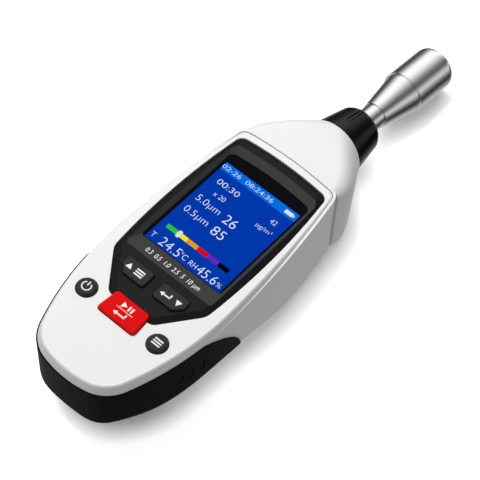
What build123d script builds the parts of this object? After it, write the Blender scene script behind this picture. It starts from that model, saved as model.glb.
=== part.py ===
from build123d import *
import math
import os

# A hand-held airborne particle counter, lying on its back.
# +X is to the right, +Y runs towards the sampling probe, +Z comes out of the face.
# Lengths along the instrument are measured from the middle of the display and heights from the
# flat back. The export then moves every piece so that the origin lies under the middle of the whole.
# All sizes are millimetres.

# Housing
DEPTH = 34.5              # flat back to face
WALL = 2.2                # wall of the moulded shells
SEAM = 0.2                # gap along the visible seams
COVER_HEIGHT = 3.0        # side wall of the front cover
COVER_PLATE = 1.7         # thickness of the cover's face
EDGE_BREAK = 0.45         # broken edge round the face
COVER_DRAFT = 1.1         # how far the cover's flank leans out, and the shoulder beside it
HALF_WIDTH_TOP = 19.4     # half widths of the face
HALF_WIDTH_MID = 23.1
HALF_WIDTH_GRIP = 24.1
HALF_WIDTH_LOW = 21.4
HALF_WIDTH_TAIL = 14.7
FACE_TOP_Y = 32.4         # where those half widths lie
FACE_ARCH = 1.4
FACE_CORNER = 3.0
GRIP_Y = -26.0
TAIL_Y = -68.9
TAIL_ARCH = 3.0
TAIL_CORNER = 12.0
BACK_EDGE_ROOT = 7.0      # rounding of the back's long edges, small at the nose and full at the grip
BACK_EDGE_MID = 8.5
BACK_EDGE_GRIP = 18.0
NOSE_ROOT_Y = 33.3        # where the nose leaves the body
SHELL_END_Y = 30.6        # where the front shell ends beside the cover's corner

# Nose, collar and probe, all on one drooping axis
NOSE_DROOP = 8.0          # degrees below the face
AXIS_Y = 65.0             # a point that the axis passes through
AXIS_Z = 15.55
NOSE_END = 56.7           # distances along the axis share AXIS_Y's zero
NOSE_END_RADIUS = 11.9
COLLAR_LENGTH = 16.4
COLLAR_RADIUS = 11.5
COLLAR_END_RADIUS = 8.5
COLLAR_LIP = 0.8
SPIGOT_RADIUS = 9.6
FLUTE_PAIRS = 6
FLUTE_SPREAD = 8.0        # degrees between the two flutes of a pair
FLUTE_WIDTH = 0.9
FLUTE_DEPTH = 0.5
FLUTE_LENGTH = 9.5
PROBE_NECK_RADIUS = 4.6
PROBE_NECK_LENGTH = 7.9   # plain neck that shows past the collar
PROBE_CONE_LENGTH = 15.6
PROBE_CONE_START = 5.0
PROBE_CONE_RADIUS = 7.8
PROBE_HEAD_LENGTH = 20.8
PROBE_HEAD_RADIUS = 8.2
PROBE_SHOULDER = 2.2
PROBE_RING_WIDTH = 0.5    # fine groove turned at each end of the cone
PROBE_RING_DEPTH = 0.25
PROBE_MOUTH_RADIUS = 5.6
PROBE_MOUTH_DEPTH = 10.0
PROBE_STEM_RADIUS = 3.7
PROBE_STEM_LENGTH = 10.0  # length inside the collar
SAMPLE_BORE = 1.6
SEAL_RADIUS = 5.0
SEAL_WIDTH = 1.2
TUBE_RADIUS = 3.0

# Display and bezel
PANEL_LEVEL = 32.25       # picture plane
PANEL_THICK = 1.4
VIEW_WIDTH = 31.68
VIEW_HEIGHT = 39.6
LENS_THICK = 0.7
LENS_GAP = 0.15
LENS_LAP = 1.1            # how far the lens runs under the bezel
WINDOW_HALF_WIDTH = 16.8
WINDOW_TOP_Y = 23.3
WINDOW_LOW_Y = -20.3
FACET_SIDE = 1.5          # slopes from the bezel's land down to the window
FACET_TOP = 2.9
FACET_LOW = 5.9
BEZEL_PROUD = 0.15
BEZEL_BAND = 2.4          # outer band that slopes down to the cover
BEZEL_BAND_DROP = 0.8
BEZEL_SKIRT = 1.6
BEZEL_GAP = 0.15

# Keys
KEY_PROUD = 1.1
KEY_TRAVEL = 0.8
KEY_GAP = 0.3
KEY_LIP = 0.7             # flange that keeps a key in its hole
KEY_LIP_THICK = 0.8
KEY_PLUNGER_RADIUS = 1.5
KEY_REST_GAP = 0.05       # left between plunger and dome with the key down
ROUND_KEY_RADIUS = 3.4
ROUND_KEY_X = 14.9
ROUND_KEY_Y = -46.9
UPPER_KEY_INNER_X = 2.0
UPPER_KEY_OUTER_X = 12.9
UPPER_KEY_TOP_Y = -29.6
UPPER_KEY_LOW_Y = -35.6
UPPER_KEY_CUT = 2.7
START_KEY_TOP_Y = -41.4
START_KEY_LOW_Y = -50.0
START_KEY_TOP_HALF = 6.9
START_KEY_LOW_HALF = 7.7

# Shells, bumper and back
SEAM_ROOT_Z = 15.8        # seam between the shells, high at the nose and low at the grip
SEAM_GRIP_Z = 8.2
SEAM_GRIP_Y = -20.0
RIM_LOW_Y = -36.0         # where the shoulder beside the cover has faded out
BUMPER_PROUD = 0.5
BUMPER_SUNK = 0.9
BUMPER_TOP = 31.2
MARK_SPOTS = [-45.3, -41.2, -36.6]
MARK_LOW = 19.7           # grip marks, short grooves with a foot
MARK_HIGH = 23.9
MARK_WIDTH = 0.6
MARK_DEPTH = 0.45
MARK_FOOT = 2.0
SCREW_SPOTS = [(16.6, 27.0), (17.4, -38.0)]
SCREW_JOINT = 12.0
BOSS_RADIUS = 2.6
SCREW_RADIUS = 1.2
SCREW_HEAD_RADIUS = 2.3
SCREW_HEAD_LOW = 4.0
SCREW_HEAD_HIGH = 5.6
BATTERY_HALF_WIDTH = 10.5
BATTERY_LOW_Y = -41.0
BATTERY_TOP_Y = -7.0
BATTERY_THICK = 8.0
BATTERY_REST = 0.3        # pad under the battery
DOOR_HALF_WIDTH = 9.5
DOOR_LOW_Y = -42.0
DOOR_TOP_Y = -9.0
DOOR_THICK = 1.2
DOOR_LEDGE = 1.6
DOOR_STEP = 5.0           # solid end of the door that takes its screw
DOOR_SCREW_Y = DOOR_LOW_Y + 2.5
DOOR_SCREW_RADIUS = 0.9
TRIPOD_Y = 14.0
TRIPOD_BORE = 2.55
TRIPOD_RADIUS = 4.2
TRIPOD_LENGTH = 7.5
USB_Y = -12.0
USB_HALF_WIDTH = 3.8
USB_HEIGHT = 2.7
USB_REACH = 22.4
USB_LENGTH = 5.6
VENT_LOW_Y = -5.0
VENT_PITCH = 2.6
VENT_SLOT = 1.4
VENTS = 4
VENT_HALF_WIDTH = 7.0

# Inside
DECK_THICK = 3.0          # deck under the cover
BOARD_THICK = 1.6
BOARD_INSET = 2.6         # board edge inside the face outline
BOARD_TOP_Y = 23.5
BOARD_LOW_Y = -54.0
MAT_THICK = 1.0
DOME_RADIUS = 2.2
DOME_HEIGHT = 0.65
BOARD_SCREW_RADIUS = 0.8
SMALL_HEAD_RADIUS = 1.5    # heads of the board's screws and the door's
BOARD_SCREW_SPOTS = [(side * x, y) for x, y in ((10.0, -52.7), (19.2, 8.0)) for side in (1, -1)]
FIT = 0.2                 # clearance round pieces that drop into a recess
CHAMBER_HALF_WIDTH = 11.5
CHAMBER_LOW_Y = 6.0
CHAMBER_TOP_Y = 34.5
CHAMBER_LOW = 11.9
CHAMBER_WALL = 2.0
TUBE_LOW = 36.0
LASER_RADIUS = 2.8
LASER_Y = 18.0
LASER_LENGTH = 5.5
FAN_Y = -11.0
FAN_HALF = 13.0
FAN_HEIGHT = 10.0
FAN_WALL = 1.2
ROTOR_RADIUS = 9.5
ROTOR_GAP = 0.6
SHAFT_RADIUS = 1.0
SHAFT_FIT = 0.05
BLADES = 15

# Levels worked out from the values above
DECK_TOP = DEPTH - COVER_HEIGHT
BOARD_TOP = DECK_TOP - DECK_THICK
BOARD_LOW = BOARD_TOP - BOARD_THICK
PLATE_LOW = DEPTH - COVER_PLATE
MAT_TOP = BOARD_TOP + MAT_THICK
LENS_LOW = PANEL_LEVEL + LENS_GAP
LENS_TOP = LENS_LOW + LENS_THICK
BEZEL_TOP = DEPTH + BEZEL_PROUD
FAR = 200.0


def near(shape, x, y):
    """The corner of a flat outline that lies nearest to a point."""
    return min(shape.vertices(), key=lambda v: math.hypot(v.X - x, v.Y - y))


def round_corners(shape, corners):
    """Rounds the named corners of a flat outline, on both sides of the middle line."""
    for x, y, radius in corners:
        for side in (1, -1):
            shape = fillet(near(shape, side * x, y), radius)
    return shape


def closed(*edges):
    """A flat face inside the right-hand edges and their mirror images."""
    wires = Curve() + list(edges)
    return make_face(wires + mirror(wires, Plane.YZ))


def prism(outline, low, high):
    """A flat outline extruded from one height to another."""
    return extrude(Pos(0, 0, low) * outline, high - low)


def block(x0, x1, y0, y1, z0, z1):
    """A box between two corners."""
    return Pos((x0 + x1) / 2, (y0 + y1) / 2, (z0 + z1) / 2) * Box(x1 - x0, y1 - y0, z1 - z0)


def rod(x, y, radius, low, high):
    """An upright cylinder."""
    return Pos(x, y, (low + high) / 2) * Cylinder(radius, high - low)


def side_profile(*points):
    """A side view of straight lines, extruded over the whole width."""
    return extrude(Plane.YZ * make_face(Polyline(*points, close=True)), FAR / 2, both=True)


def crossing(one, other, level):
    """Point where two circles, each a middle and a radius, cross nearest a level."""
    (x1, y1, radius1), (x2, y2, radius2) = one, other
    apart = math.hypot(x2 - x1, y2 - y1)
    along = (radius1**2 - radius2**2 + apart**2) / (2 * apart)
    aside = math.sqrt(radius1**2 - along**2)
    x = x1 + along * (x2 - x1) / apart
    y = y1 + along * (y2 - y1) / apart
    right = aside * (y2 - y1) / apart
    down = aside * (x2 - x1) / apart
    points = [(x + right, y - down), (x - right, y + down)]
    return min(points, key=lambda point: abs(point[1] - level))


def bow(reach, fall):
    """Radius of an arc that starts level and has fallen this far over its reach."""
    return (reach**2 + fall**2) / (2 * fall)


def across(circle, start, end):
    """Arc of a circle from one point to another, the short way round."""
    x, y, radius = circle
    aim = math.atan2((start[1] + end[1]) / 2 - y, (start[0] + end[0]) / 2 - x)
    return ThreePointArc(start, (x + radius * math.cos(aim), y + radius * math.sin(aim)), end)


def face_outline(grow=0.0):
    """Edge of the white face, widest at the grip, or a line that stands off it all round."""
    top_radius = bow(HALF_WIDTH_TOP, FACE_ARCH)
    tail_radius = bow(HALF_WIDTH_TAIL, TAIL_ARCH)
    upper_radius = bow(FACE_TOP_Y - GRIP_Y, HALF_WIDTH_GRIP - HALF_WIDTH_TOP)
    lower_radius = bow(GRIP_Y - TAIL_Y, HALF_WIDTH_GRIP - HALF_WIDTH_TAIL)
    top = (0, FACE_TOP_Y + FACE_ARCH - top_radius, top_radius + grow)
    tail = (0, TAIL_Y - TAIL_ARCH + tail_radius, tail_radius + grow)
    upper = (HALF_WIDTH_GRIP - upper_radius, GRIP_Y, upper_radius + grow)
    lower = (HALF_WIDTH_GRIP - lower_radius, GRIP_Y, lower_radius + grow)
    shoulder = crossing(top, upper, FACE_TOP_Y)
    heel = crossing(tail, lower, TAIL_Y)
    widest = (HALF_WIDTH_GRIP + grow, GRIP_Y)
    edge = closed(across(top, (0, top[1] + top[2]), shoulder), across(upper, shoulder, widest),
                  across(lower, widest, heel), across(tail, heel, (0, tail[1] - tail[2])))
    return round_corners(edge, [(*shoulder, max(FACE_CORNER + grow, 0.5)), (*heel, TAIL_CORNER + grow)])


def bezel_outline():
    """Edge of the charcoal inset, a tall window that narrows to the start key."""
    top = ThreePointArc((0, 31.1), (9.5, 30.8), (18.4, 29.9))
    side = ThreePointArc((18.4, 29.9), (20.85, -3), (19.6, -29.8))
    corner = Line((19.6, -29.8), (9.2, -43.4))
    low = Line((9.2, -43.4), (0, -43.8))
    corners = [(18.4, 29.9, 3.2), (19.6, -29.8, 6), (9.2, -43.4, 3.4)]
    return round_corners(closed(top, side, corner, low), corners)


def window_outline(side=0.0, top=0.0, low=0.0, arch=1.2):
    """Edge of the display window, with its arched top, grown by the widths of the facets."""
    x = WINDOW_HALF_WIDTH + side
    high = WINDOW_TOP_Y + top
    base = WINDOW_LOW_Y - low
    crown = ThreePointArc((0, high + arch), (x / 2, high + arch * 0.75), (x, high))
    return round_corners(closed(crown, Line((x, high), (x, base)), Line((x, base), (0, base))),
                         [(x, high, 2.2), (x, base, 1.0)])


def upper_key_outline(side):
    """Left or right upper key, with its outer lower corner cut off."""
    points = [(UPPER_KEY_INNER_X, UPPER_KEY_TOP_Y), (UPPER_KEY_OUTER_X, UPPER_KEY_TOP_Y),
              (UPPER_KEY_OUTER_X, UPPER_KEY_LOW_Y + UPPER_KEY_CUT),
              (UPPER_KEY_OUTER_X - UPPER_KEY_CUT, UPPER_KEY_LOW_Y), (UPPER_KEY_INNER_X, UPPER_KEY_LOW_Y)]
    face = make_face(Polyline(*[(side * x, y) for x, y in points], close=True))
    return fillet(face.vertices(), 0.9)


def start_key_outline():
    """The large key, a little wider at its lower edge."""
    points = [(START_KEY_TOP_HALF, START_KEY_TOP_Y), (START_KEY_LOW_HALF, START_KEY_LOW_Y),
              (-START_KEY_LOW_HALF, START_KEY_LOW_Y), (-START_KEY_TOP_HALF, START_KEY_TOP_Y)]
    face = make_face(Polyline(*points, close=True))
    return fillet(face.vertices(), 1.2)


def round_key_outline(side):
    """One of the two round keys."""
    return Pos(side * ROUND_KEY_X, ROUND_KEY_Y) * Circle(ROUND_KEY_RADIUS)


def axis_frame(distance):
    """A plane square to the nose axis, at a distance along it; its Z points to the mouth."""
    droop = math.radians(NOSE_DROOP)
    along = distance - AXIS_Y
    origin = (0, AXIS_Y + along * math.cos(droop), AXIS_Z - along * math.sin(droop))
    return Plane(origin=origin, x_dir=(1, 0, 0), z_dir=(0, math.cos(droop), -math.sin(droop)))


def turned(points):
    """A solid of revolution about the nose axis from (radius, distance) points."""
    profile = make_face(Polyline(*[(r, s, 0) for r, s in points], close=True))
    spun = revolve(Plane.XZ * profile, Axis.Z)
    return axis_frame(0) * spun


def section(y, half_width, low, high, low_radius, high_radius, tilt=0.0):
    """A cross-section of the housing: a rectangle with its own upper and lower corner radii."""
    droop = math.radians(tilt)
    plane = Plane(origin=(0, y, 0), x_dir=(1, 0, 0), z_dir=(0, -math.cos(droop), math.sin(droop)))
    edge = half_width
    flat = make_face(Polyline((-edge, low), (edge, low), (edge, high), (-edge, high), close=True))
    flat = fillet([near(flat, -edge, low), near(flat, edge, low)], low_radius)
    flat = fillet([near(flat, -edge, high), near(flat, edge, high)], high_radius)
    return plane * flat


def body_solid(grow=0.0):
    """The body without its nose, cut to the plan of the face and grown or shrunk evenly."""
    spare = 0.6
    over = 0.4
    stations = [(NOSE_ROOT_Y, HALF_WIDTH_TOP + COVER_DRAFT, -over, BACK_EDGE_ROOT),
                (10, HALF_WIDTH_MID + 0.7, -over, BACK_EDGE_MID),
                (-8, HALF_WIDTH_MID + 1.7, -over, 13.5),
                (-22, HALF_WIDTH_GRIP + 1.0, -over, BACK_EDGE_GRIP),
                (-46, HALF_WIDTH_LOW + 1.9, 0, BACK_EDGE_GRIP),
                (-60, HALF_WIDTH_LOW - 1.8, 3.6, 15.5),
                (TAIL_Y - 6, HALF_WIDTH_TAIL + 1.4, 17.6, 8.0)]
    parts = [section(y, x + spare + grow, low - grow, DEPTH + over, max(radius + grow, 2), 0.5)
             for y, x, low, radius in stations]
    hull = loft(parts)
    plan = prism(face_outline(COVER_DRAFT + grow), -over, DEPTH + over)
    room = block(-FAR, FAR, -FAR, NOSE_ROOT_Y, max(0, -grow), DEPTH)
    return hull & plan & room


def nose_solid(grow=0.0):
    """The nose, from the body's section to the round end that holds the collar."""
    end = axis_frame(NOSE_END)
    radius = NOSE_END_RADIUS + grow
    width = HALF_WIDTH_TOP + COVER_DRAFT
    low = max(0, -grow)
    high = DEPTH + min(grow, 0)
    parts = [section(NOSE_ROOT_Y, width + grow, low, high, BACK_EDGE_ROOT + grow, 3.4 + grow),
             section(42.0, 19.4 + grow, 0.3 - grow, 32.5 + grow, 6.4 + grow, 7.4 + grow, 3),
             section(50.0, 14.4 + grow, 3.0 - grow, 30.8 + grow, 11.0 + grow, 10.6 + grow, 6)]
    ring = Plane(origin=end.origin, x_dir=(1, 0, 0), z_dir=-end.z_dir)
    near_round = make_face(Polyline((-radius, -radius), (radius, -radius), (radius, radius),
                                    (-radius, radius), close=True))
    near_round = fillet(near_round.vertices(), radius - 0.05)
    return loft(parts + [ring * near_round]) & block(-FAR, FAR, 0, FAR, low, FAR)


def front_zone(gap=0.0):
    """Where the front shell and cover lie, ahead of the seam and behind the nose."""
    points = [(SHELL_END_Y + gap, SEAM_ROOT_Z - gap), (SEAM_GRIP_Y, SEAM_GRIP_Z - gap),
              (-FAR, SEAM_GRIP_Z - gap), (-FAR, FAR), (SHELL_END_Y + gap, FAR)]
    return side_profile(*points)


def rim_wedge():
    """The shoulder beside the cover, level with the face at the top and gone at the grip."""
    high = DEPTH - 0.2
    return side_profile((RIM_LOW_Y, DECK_TOP), (SHELL_END_Y, high), (FAR, high), (FAR, DECK_TOP))


def key_lips(outlines, gap):
    """The key flanges' outlines with a gap round them, as one flat shape."""
    return Sketch() + [offset(outline, KEY_LIP + gap) for outline in outlines]


FACE = face_outline()
BEZEL = bezel_outline()
UPPER_KEYS = [upper_key_outline(-1), upper_key_outline(1)]
START_KEY = start_key_outline()
ROUND_KEYS = [round_key_outline(-1), round_key_outline(1)]


def front_cover():
    """White face: a tapered flank, a plate, the bezel's window and the lower key holes."""
    flank = loft([Pos(0, 0, DECK_TOP) * face_outline(COVER_DRAFT), Pos(0, 0, DEPTH - EDGE_BREAK) * FACE,
                  Pos(0, 0, DEPTH) * face_outline(-EDGE_BREAK)], ruled=True)
    straight = prism(FACE, DECK_TOP - 1, DEPTH + 1)
    cover = flank - (rim_wedge() - straight)
    cover -= block(-FAR, FAR, SHELL_END_Y, FAR, 0, FAR) - straight
    cover -= prism(face_outline(-WALL), DECK_TOP, PLATE_LOW)
    cover -= prism(BEZEL, DECK_TOP, DEPTH)
    for outline in [START_KEY] + ROUND_KEYS:
        cover -= prism(offset(outline, KEY_GAP), DECK_TOP, DEPTH)
    return cover


def front_shell():
    """White side walls with the shoulder beside the cover, the deck and the screw posts."""
    zone = front_zone()
    shell = (body_solid() - body_solid(-WALL)) & zone
    shell -= block(-FAR, FAR, -FAR, FAR, DECK_TOP, FAR) - rim_wedge()
    shell -= prism(face_outline(SEAM), DECK_TOP, DEPTH)
    deck = prism(face_outline(0.3 - SEAM), BOARD_TOP, DECK_TOP) & body_solid(-0.5 * WALL)
    opening = offset(BEZEL, -BEZEL_SKIRT - 0.3) + key_lips(UPPER_KEYS, KEY_GAP)
    deck -= prism(opening, BOARD_TOP, DECK_TOP)
    deck -= prism(key_lips([START_KEY] + ROUND_KEYS, KEY_GAP), BOARD_TOP, DECK_TOP)
    deck -= prism(offset(mat_outline(), FIT), BOARD_TOP, MAT_TOP)
    shell += deck
    for x, y in SCREW_SPOTS:
        for side in (1, -1):
            shell += rod(side * x, y, BOSS_RADIUS - 0.3, SCREW_JOINT, BOARD_TOP + 0.5)
            shell -= rod(side * x, y, SCREW_RADIUS, SCREW_JOINT, SCREW_JOINT + 9)
    for x, y in BOARD_SCREW_SPOTS:
        shell -= rod(x, y, BOARD_SCREW_RADIUS, BOARD_TOP, BOARD_TOP + 2)
    shell -= bumper_seat()
    shell -= block(-FAR, 0, USB_Y - USB_HALF_WIDTH - FIT, USB_Y + USB_HALF_WIDTH + FIT,
                   BOARD_LOW - USB_HEIGHT - FIT, BOARD_LOW + FIT)
    return shell


def rear_shell():
    """White back with the nose, the battery bay's opening, vents and bosses."""
    outer = body_solid() + nose_solid()
    inner = body_solid(-WALL) + nose_solid(-WALL)
    inner += block(-13, 13, NOSE_ROOT_Y - 2.5, NOSE_ROOT_Y + 1, 4, 30)
    shell = outer - inner
    shell -= front_zone()
    shell -= prism(face_outline(SEAM), BOARD_TOP, DEPTH + 1)
    shell -= turned([(0, NOSE_END - 12), (SPIGOT_RADIUS, NOSE_END - 12), (SPIGOT_RADIUS, NOSE_END + 5),
                     (0, NOSE_END + 5)])
    for x, y in SCREW_SPOTS:
        for side in (1, -1):
            boss = rod(side * x, y, BOSS_RADIUS, 0, SCREW_JOINT) & body_solid(-0.5)
            shell += boss
            shell -= rod(side * x, y, SCREW_RADIUS + 0.15, 0, SCREW_JOINT)
            shell -= rod(side * x, y, SCREW_HEAD_RADIUS + 0.2, 0, SCREW_HEAD_HIGH)
    shell += rod(0, TRIPOD_Y, TRIPOD_RADIUS + 1.6, 1, TRIPOD_LENGTH + 1)
    shell -= rod(0, TRIPOD_Y, TRIPOD_RADIUS, 0, TRIPOD_LENGTH)
    shell -= block(-DOOR_HALF_WIDTH, DOOR_HALF_WIDTH, DOOR_LOW_Y, DOOR_TOP_Y, 0, DOOR_THICK)
    shell -= block(DOOR_LEDGE - DOOR_HALF_WIDTH, DOOR_HALF_WIDTH - DOOR_LEDGE, DOOR_LOW_Y + DOOR_STEP,
                   DOOR_TOP_Y - DOOR_LEDGE, 0, WALL)
    shell -= rod(0, DOOR_SCREW_Y, DOOR_SCREW_RADIUS, 0, WALL)
    for row in range(VENTS):
        y = VENT_LOW_Y + VENT_PITCH * row
        shell -= block(-VENT_HALF_WIDTH, VENT_HALF_WIDTH, y, y + VENT_SLOT, 0, WALL)
    shell -= bumper_seat()
    return shell


def bumper_zone():
    """Side view of the bumper: the whole tail, and a swoosh that ends in a point on each side."""
    edge = Spline((-37.5, BUMPER_TOP), (-33.6, 29.6), (-27.3, 25.0), (-22.3, 19.5), (-19.7, 14.2),
                  tangents=[(1, -0.2), (0.3, -1)])
    tip = ThreePointArc((-19.7, 14.2), (-19.9, 12.4), (-22, 11.2))
    under = Spline((-22, 11.2), (-34, 8.2), (-47, 4.2), (-56, -4), tangents=[(-1, -0.2), (-0.6, -0.8)])
    rest = Polyline((-56, -4), (-FAR, -4), (-FAR, BUMPER_TOP), (-37.5, BUMPER_TOP))
    return extrude(Plane.YZ * make_face(Curve() + [edge, tip, under, rest]), FAR / 2, both=True)


def bumper_seat():
    """The layer taken off the shells where the bumper lies."""
    return (body_solid(2) - body_solid(-BUMPER_SUNK)) & bumper_zone()


def bumper():
    """Black soft wrap round the tail, with three grip marks in each side."""
    skin = (body_solid(BUMPER_PROUD) - body_solid(-BUMPER_SUNK)) & bumper_zone()
    plan = face_outline(COVER_DRAFT + BUMPER_PROUD)
    for y in MARK_SPOTS:
        edge = (plan & Pos(0, y) * Rectangle(FAR, MARK_WIDTH)).bounding_box().max.X
        for side in (1, -1):
            middle = (MARK_LOW + MARK_HIGH) / 2
            stroke = Box(2 * MARK_DEPTH, MARK_WIDTH, MARK_HIGH - MARK_LOW)
            foot = Rot(-20, 0, 0) * Box(2 * MARK_DEPTH, MARK_FOOT, MARK_WIDTH)
            foot = Pos(0, -MARK_FOOT / 2, MARK_LOW - middle) * foot
            skin -= Pos(side * edge, y, middle) * (stroke + foot)
    return skin


def bezel():
    """Charcoal inset: sloping outer band, flat land, facets down to the window, and a skirt."""
    edge = offset(BEZEL, -BEZEL_GAP)
    land = offset(BEZEL, -BEZEL_GAP - BEZEL_BAND)
    body = loft([Pos(0, 0, DECK_TOP) * edge, Pos(0, 0, BEZEL_TOP - BEZEL_BAND_DROP) * edge,
                 Pos(0, 0, BEZEL_TOP) * land], ruled=True)
    hollow = offset(BEZEL, -BEZEL_SKIRT)
    body -= prism(hollow, DECK_TOP, PLATE_LOW)
    body -= prism(window_outline(LENS_LAP, LENS_LAP, LENS_LAP), DECK_TOP, LENS_TOP)
    low = Pos(0, 0, LENS_TOP + 0.25) * window_outline()
    high = Pos(0, 0, BEZEL_TOP) * window_outline(FACET_SIDE, FACET_TOP, FACET_LOW)
    body -= prism(window_outline(), LENS_TOP - 0.1, LENS_TOP + 0.25)
    body -= loft([low, high], ruled=True)
    for outline in UPPER_KEYS + [START_KEY]:
        body -= prism(offset(outline, KEY_GAP), DECK_TOP, BEZEL_TOP)
    body -= prism(key_lips(UPPER_KEYS + [START_KEY], KEY_GAP), DECK_TOP, PLATE_LOW)
    return body


def display_window():
    """Lens under the bezel's lip."""
    return prism(window_outline(LENS_LAP - FIT, LENS_LAP - FIT, LENS_LAP - FIT), LENS_LOW, LENS_TOP)


def display_panel():
    """Glass of the colour panel."""
    half = VIEW_WIDTH / 2 + 0.8
    low, high = -VIEW_HEIGHT / 2 - 2.6, VIEW_HEIGHT / 2 + 1.4
    return block(-half, half, low, high, PANEL_LEVEL - PANEL_THICK, PANEL_LEVEL)


def display_frame():
    """Backlight and its frame, standing on the board."""
    half = VIEW_WIDTH / 2 + 1.2
    low, high = -VIEW_HEIGHT / 2 - 4.0, VIEW_HEIGHT / 2 + 2.2
    frame = block(-half, half, low, high, BOARD_TOP, PANEL_LEVEL - 0.5)
    panel = display_panel().bounding_box()
    return frame - block(panel.min.X, panel.max.X, panel.min.Y, panel.max.Y, panel.min.Z, FAR)


def mat_outline():
    """Sheet under all five keys."""
    return Pos(0, -39.5) * RectangleRounded(38, 23.4, 2)


def key_centres():
    """Where each key presses its dome."""
    middle_x = (UPPER_KEY_INNER_X + UPPER_KEY_OUTER_X) / 2
    middle_y = (UPPER_KEY_TOP_Y + UPPER_KEY_LOW_Y) / 2
    start_y = (START_KEY_TOP_Y + START_KEY_LOW_Y) / 2
    return [(-middle_x, middle_y), (middle_x, middle_y), (0, start_y),
            (-ROUND_KEY_X, ROUND_KEY_Y), (ROUND_KEY_X, ROUND_KEY_Y)]


def keypad_mat():
    """Silicone sheet with a low dome under each key."""
    mat = prism(mat_outline(), BOARD_TOP, MAT_TOP)
    for x, y in key_centres():
        mat += Pos(x, y, MAT_TOP) * extrude(Circle(DOME_RADIUS), DOME_HEIGHT, taper=30)
    for x, y in SCREW_SPOTS[1:]:
        for side in (1, -1):
            mat -= rod(side * x, y, BOSS_RADIUS, BOARD_TOP, MAT_TOP)
    return mat


def key(outline, centre, crown):
    """A key with its flange and plunger; crown rounds its top edge."""
    rest_low = MAT_TOP + DOME_HEIGHT + KEY_TRAVEL + KEY_REST_GAP
    cap = prism(outline, PLATE_LOW, DEPTH + KEY_PROUD)
    cap = fillet(cap.faces().sort_by(Axis.Z)[-1].outer_wire().edges(), crown)
    lip = prism(offset(outline, KEY_LIP), PLATE_LOW - KEY_LIP_THICK, PLATE_LOW)
    plunger = rod(centre[0], centre[1], KEY_PLUNGER_RADIUS, rest_low, PLATE_LOW - KEY_LIP_THICK + 0.1)
    return cap + lip + plunger


def main_board():
    """Circuit board under the deck, with holes for the screw posts."""
    board = prism(face_outline(-BOARD_INSET), BOARD_LOW, BOARD_TOP)
    board &= block(-FAR, FAR, BOARD_LOW_Y, BOARD_TOP_Y, BOARD_LOW, BOARD_TOP)
    for side in (1, -1):
        board -= rod(side * SCREW_SPOTS[1][0], SCREW_SPOTS[1][1], BOSS_RADIUS + 0.1, BOARD_LOW, BOARD_TOP)
    for x, y in BOARD_SCREW_SPOTS:
        board -= rod(x, y, BOARD_SCREW_RADIUS, BOARD_LOW, BOARD_TOP)
    return board


def screw(x, y, shank_radius, head_radius, head_low, head_high, tip):
    """A pan-head screw that points up, with a cross slot in its head."""
    body = rod(x, y, head_radius, head_low, head_high) + rod(x, y, shank_radius, head_high, tip)
    slot = head_radius * 1.1
    for long_side, short_side in ((slot, 0.5), (0.5, slot)):
        body -= Pos(x, y, head_low) * Box(long_side, short_side, 0.8)
    return body


def board_screws():
    """Four screws that hold the board to the deck."""
    return Compound([screw(x, y, BOARD_SCREW_RADIUS, SMALL_HEAD_RADIUS, BOARD_LOW - 1.1, BOARD_LOW, BOARD_TOP + 2)
                     for x, y in BOARD_SCREW_SPOTS])


def housing_screws():
    """Four screws that close the housing from the back."""
    return Compound([screw(side * x, y, SCREW_RADIUS, SCREW_HEAD_RADIUS, SCREW_HEAD_LOW, SCREW_HEAD_HIGH,
                           SCREW_JOINT + 8)
                     for x, y in SCREW_SPOTS for side in (1, -1)])


def nose_collar():
    """Black tapered collar with a lip, a spigot in the nose and pairs of shallow flutes."""
    start, end = NOSE_END, NOSE_END + COLLAR_LENGTH
    stem, stem_end = PROBE_STEM_RADIUS, end - PROBE_STEM_LENGTH
    collar = turned([(stem, stem_end), (SEAL_RADIUS, stem_end), (SEAL_RADIUS, start - 3),
                     (SPIGOT_RADIUS, start - 3), (SPIGOT_RADIUS, start), (COLLAR_RADIUS, start),
                     (COLLAR_RADIUS, start + COLLAR_LIP), (COLLAR_RADIUS - 0.35, start + COLLAR_LIP + 0.1),
                     (COLLAR_END_RADIUS + 0.3, end - 2.0), (COLLAR_END_RADIUS - 0.4, end - 0.7),
                     (COLLAR_END_RADIUS - 1.4, end), (stem, end)])
    lean = math.degrees(math.atan((COLLAR_RADIUS - COLLAR_END_RADIUS) / COLLAR_LENGTH))
    centre = end - FLUTE_LENGTH / 2
    share = (centre - start) / COLLAR_LENGTH
    level = COLLAR_RADIUS + (COLLAR_END_RADIUS - COLLAR_RADIUS) * share
    groove = Pos(0, level, centre) * Rot(lean, 0, 0) * Box(FLUTE_WIDTH, 2 * FLUTE_DEPTH, FLUTE_LENGTH)
    for pair in range(FLUTE_PAIRS):
        for half in (-1, 1):
            turn = 360 * pair / FLUTE_PAIRS + half * FLUTE_SPREAD / 2
            collar -= axis_frame(0) * (Rot(0, 0, turn) * groove)
    return collar


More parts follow.
